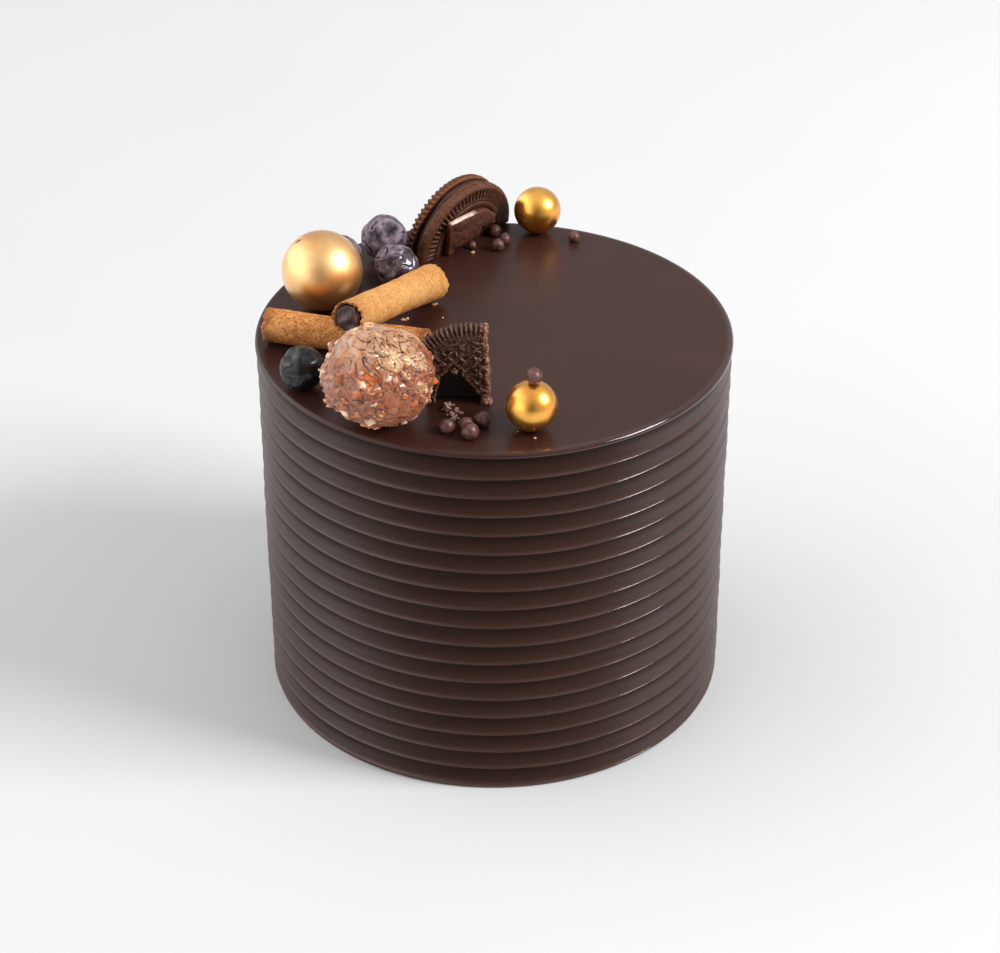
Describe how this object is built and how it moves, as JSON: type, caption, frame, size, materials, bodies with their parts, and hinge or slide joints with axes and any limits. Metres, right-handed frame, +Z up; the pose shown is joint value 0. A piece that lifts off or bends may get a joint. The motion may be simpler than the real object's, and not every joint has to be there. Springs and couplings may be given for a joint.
{
  "type": "cookies and cream cake",
  "caption": "Tall round chocolate-coated cake with combed sides and a flat top dressed with gold balls, blueberries, a nut praline, wafer rolls and broken sandwich cookies.",
  "frame": {"origin": "centre of the cake's flat base, on the cake's axis", "axes": "+Z up along the cake's axis, -Y towards the front that the picture shows, +X to the right seen from the front"},
  "size_m": [0.151, 0.1568, 0.1549],
  "materials": {
    "ganache": "satin dark chocolate coating",
    "gold_coating": "pearly gold dusting over chocolate",
    "blueberry": "dark skin with a pale waxy bloom",
    "praline": "milk chocolate with chopped nuts",
    "rolled_wafer": "baked golden wafer",
    "roll_filling": "soft dark chocolate",
    "cookie": "dry dark cocoa biscuit",
    "cookie_cream": "firm cocoa cream"
  },
  "bodies": {
    "root": {"cake_body": "ganache", "gold_ball_large": "gold_coating", "gold_ball_back": "gold_coating", "gold_ball_front": "gold_coating", "blueberry_front": "blueberry", "blueberry_back_upper": "blueberry", "blueberry_back_lower": "blueberry", "blueberry_behind_ball": "blueberry", "hazelnut_praline": "praline", "wafer_roll_lower": "rolled_wafer", "wafer_roll_lower_filling": "roll_filling", "wafer_roll_upper": "rolled_wafer", "wafer_roll_upper_filling": "roll_filling", "cookie_half_wafer_front": "cookie", "cookie_half_cream": "cookie_cream", "cookie_half_wafer_back": "cookie", "cookie_fragment": "cookie", "cookie_shard": "cookie", "cookie_shard_cream": "cookie_cream"}
  },
  "joints": []
}
